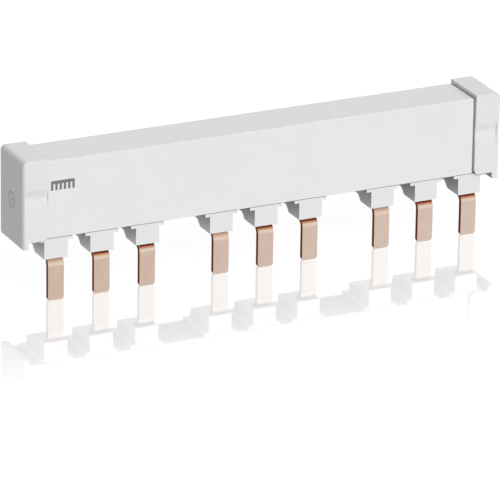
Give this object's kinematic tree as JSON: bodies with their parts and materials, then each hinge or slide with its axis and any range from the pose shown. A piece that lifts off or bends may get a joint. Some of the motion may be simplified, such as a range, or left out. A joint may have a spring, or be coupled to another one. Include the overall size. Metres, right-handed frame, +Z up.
{
  "type": "comb busbar",
  "caption": "Insulated comb busbar: bent copper fingers leave moulded feet under a slim white cover with end caps, to link motor starters side by side.",
  "frame": {"origin": "front contact face of the middle finger, on its centre line, at half the height of the contact zone", "axes": "+X along the bar, to the right seen from the front; +Y from the fingers' contact plane to the back; +Z up, with the fingers pointing down"},
  "size_m": [0.158, 0.0171, 0.0452],
  "materials": {
    "cover_plastic": "smooth white moulded polyamide, low sheen",
    "carrier_plastic": "smooth white moulded polyamide, low sheen",
    "cap_plastic": "smooth white moulded polyamide, low sheen",
    "copper": "bare rolled and stamped copper, lightly brushed"
  },
  "bodies": {
    "root": {"cover": "cover_plastic", "carrier": "carrier_plastic", "busbar_l1": "copper", "busbar_l2": "copper", "busbar_l3": "copper", "end_cap_left": "cap_plastic", "end_cap_right": "cap_plastic"}
  },
  "joints": []
}
